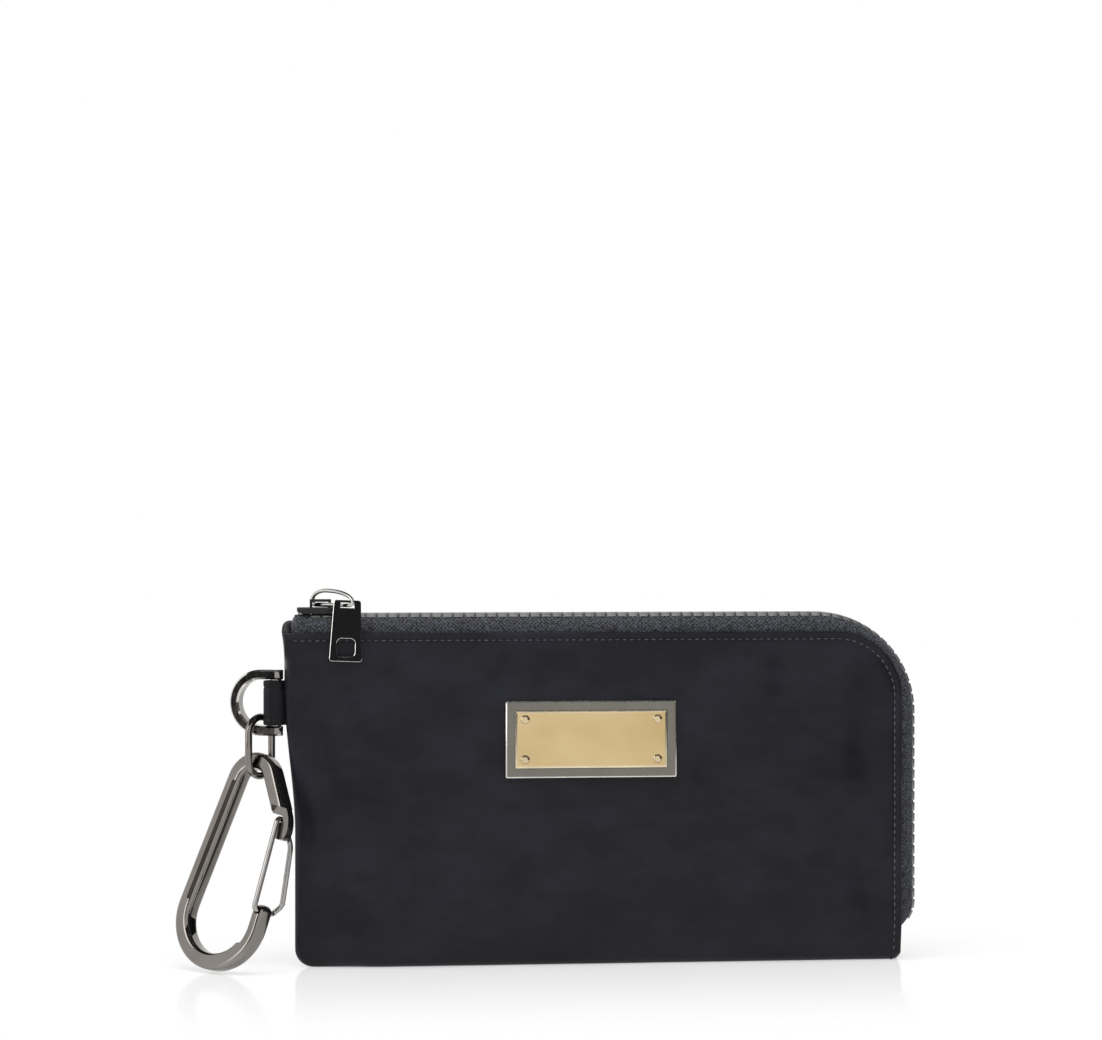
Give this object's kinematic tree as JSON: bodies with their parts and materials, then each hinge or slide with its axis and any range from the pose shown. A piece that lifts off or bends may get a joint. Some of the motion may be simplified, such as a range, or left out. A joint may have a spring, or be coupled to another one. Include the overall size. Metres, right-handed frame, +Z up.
{
  "type": "zippered pouch",
  "caption": "Flat padded pouch closed by an L-shaped zip with a slider, ring and pull tab, a riveted face plate, and a side loop whose D-ring and chain link carry a wire-gate carabiner.",
  "frame": {"origin": "middle of the flat base that the pouch stands on", "axes": "+X along the zip, away from the side loop; +Y from the plate's face to the back; +Z up"},
  "size_m": [0.2256, 0.0268, 0.1136],
  "materials": {
    "nylon": "satin near-black navy nylon",
    "lining": "dull woven lining",
    "tape": "charcoal knit zip tape",
    "webbing": "satin nylon strap",
    "teeth": "gunmetal zip teeth",
    "slider": "dark nickel",
    "ring": "bright nickel",
    "pull": "black gloss enamel with bright edges",
    "frame": "dark gunmetal, bright bevelled rim",
    "plate": "satin gold",
    "rivets": "polished dome heads",
    "backer": "hidden stiffening board",
    "d_ring": "dark polished nickel",
    "link": "dark polished nickel",
    "carabiner": "dark polished nickel",
    "gate": "polished steel wire"
  },
  "bodies": {
    "pouch": {"front_panel": "nylon", "back_panel": "nylon", "front_lining": "lining", "back_lining": "lining", "front_zip_tape": "tape", "back_zip_tape": "tape", "front_zip_teeth": "teeth", "back_zip_teeth": "teeth", "top_stops": "teeth", "bottom_stop": "teeth", "plate_frame": "frame", "face_plate": "plate", "plate_rivets": "rivets", "plate_backer": "backer", "side_loop": "webbing"},
    "slider": {"slider_body": "slider"},
    "pull_ring": {"pull_ring": "ring"},
    "pull": {"pull_tab": "pull"},
    "d_ring": {"d_ring": "d_ring"},
    "link": {"chain_link": "link"},
    "carabiner": {"carabiner_body": "carabiner"},
    "gate": {"wire_gate": "gate"}
  },
  "joints": [
    {"name": "slider_slide", "type": "slide", "parent": "pouch", "child": "slider", "axis": [1, 0, 0], "range_m": [0, 0.138], "deforming": ["front_zip_teeth", "back_zip_teeth"]},
    {"name": "ring_swing", "type": "hinge", "parent": "slider", "child": "pull_ring", "pos_m": [-0.0844, 0, 0.10875], "axis": [-0.6947, 0.7193, 0], "range_deg": [0, 60]},
    {"name": "pull_swing", "type": "hinge", "parent": "pull_ring", "child": "pull", "pos_m": [-0.07663, -0.00805, 0.10875], "axis": [-0.6947, 0.7193, 0], "range_deg": [0, 75]},
    {"name": "d_ring_swing", "type": "hinge", "parent": "pouch", "child": "d_ring", "pos_m": [-0.0976, 0, 0.07095], "axis": [0, 0, 1], "range_deg": [-25, 20]},
    {"name": "link_swing", "type": "hinge", "parent": "d_ring", "child": "link", "pos_m": [-0.10239, 0.00203, 0.07095], "axis": [-0.9205, 0.3907, 0], "range_deg": [-8, 20]},
    {"name": "carabiner_swing", "type": "hinge", "parent": "link", "child": "carabiner", "pos_m": [-0.10334, 0.00108, 0.05747], "axis": [0.6049, 0.747, -0.2756], "range_deg": [-6, 20]},
    {"name": "gate_press", "type": "hinge", "parent": "carabiner", "child": "gate", "pos_m": [-0.10174, -0.01454, 0.01864], "axis": [-0.6049, -0.747, 0.2756], "range_deg": [0, 26], "stiffness_Nm_per_rad": 0.05, "springref_deg": -8.59}
  ]
}
